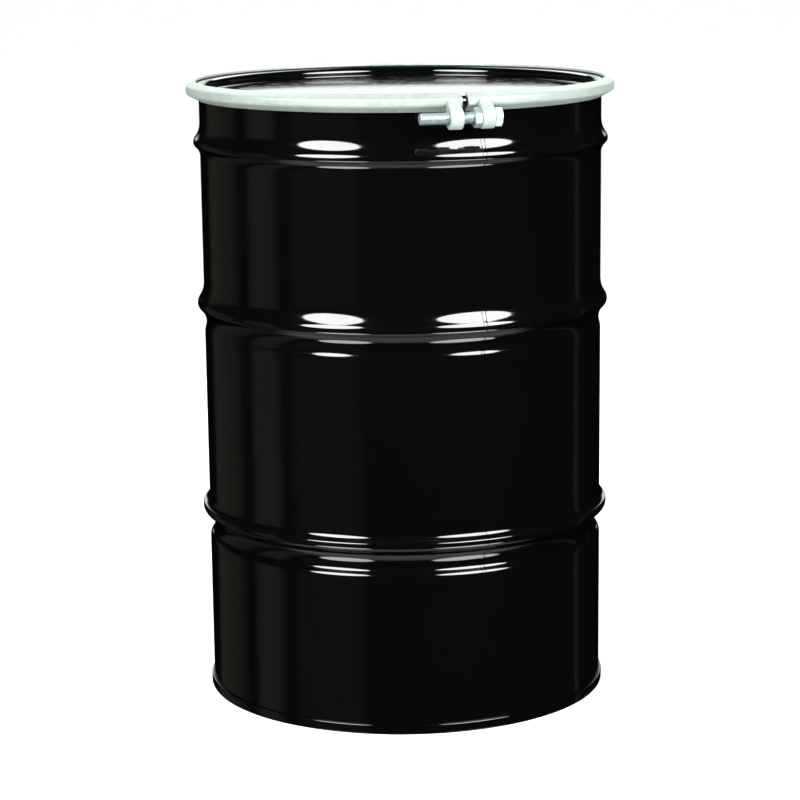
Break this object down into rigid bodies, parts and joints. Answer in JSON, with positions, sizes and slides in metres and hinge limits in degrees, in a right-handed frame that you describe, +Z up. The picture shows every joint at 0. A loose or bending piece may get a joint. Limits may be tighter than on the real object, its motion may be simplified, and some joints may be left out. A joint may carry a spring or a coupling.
{
  "type": "steel oil drum",
  "caption": "Open-head steel drum with rolled hoops, a removable flat cover and a bolted closing ring.",
  "frame": {"origin": "on the drum's axis, on the plane that the bottom chime stands on", "axes": "+Z up along the drum's axis to the mouth; the closing ring's lugs are at -Y and its bolt lies along X with its head at +X"},
  "size_m": [0.6096, 0.6343, 0.886],
  "materials": {
    "black_enamel": "gloss",
    "galvanised_steel": "satin",
    "zinc_plated_steel": "satin",
    "weld_steel": "rough",
    "gasket_rubber": "matt",
    "seam_compound": "matt"
  },
  "bodies": {
    "drum": {"body_shell": "black_enamel", "side_seam_weld": "black_enamel", "bottom_head": "black_enamel", "seam_sealant": "seam_compound"},
    "lid": {"cover": "black_enamel", "cover_gasket": "gasket_rubber"},
    "ring_left": {"closing_ring_left": "galvanised_steel", "threaded_lug": "galvanised_steel", "threaded_lug_weld": "weld_steel"},
    "ring_right": {"closing_ring_right": "galvanised_steel", "plain_lug": "galvanised_steel", "plain_lug_weld": "weld_steel"},
    "bolt": {"closing_bolt": "zinc_plated_steel"},
    "nut": {"lock_nut": "zinc_plated_steel"}
  },
  "joints": [
    {"name": "lid_lift", "type": "slide", "parent": "drum", "child": "lid", "axis": [0, 0, 1], "range_m": [0, 0.25]},
    {"name": "ring_lift", "type": "slide", "parent": "lid", "child": "ring_left", "axis": [0, 0, 1], "range_m": [0, 0.15], "deforming": ["closing_ring_left", "closing_ring_right"]},
    {"name": "ring_open", "type": "slide", "parent": "ring_left", "child": "ring_right", "axis": [1, 0, 0], "range_m": [0, 0.03]},
    {"name": "bolt_turn", "type": "hinge", "parent": "ring_right", "child": "bolt", "pos_m": [0.0353, -0.31449, 0.85404], "axis": [1, 0, 0], "range_deg": [0, 4680]},
    {"name": "nut_turn", "type": "hinge", "parent": "bolt", "child": "nut", "pos_m": [0.01215, -0.31449, 0.85404], "axis": [1, 0, 0], "continuous": true}
  ],
  "couplings": [
    {"joint": "bolt_turn", "follows": "ring_open", "rad_per_m": 2721.1}
  ]
}
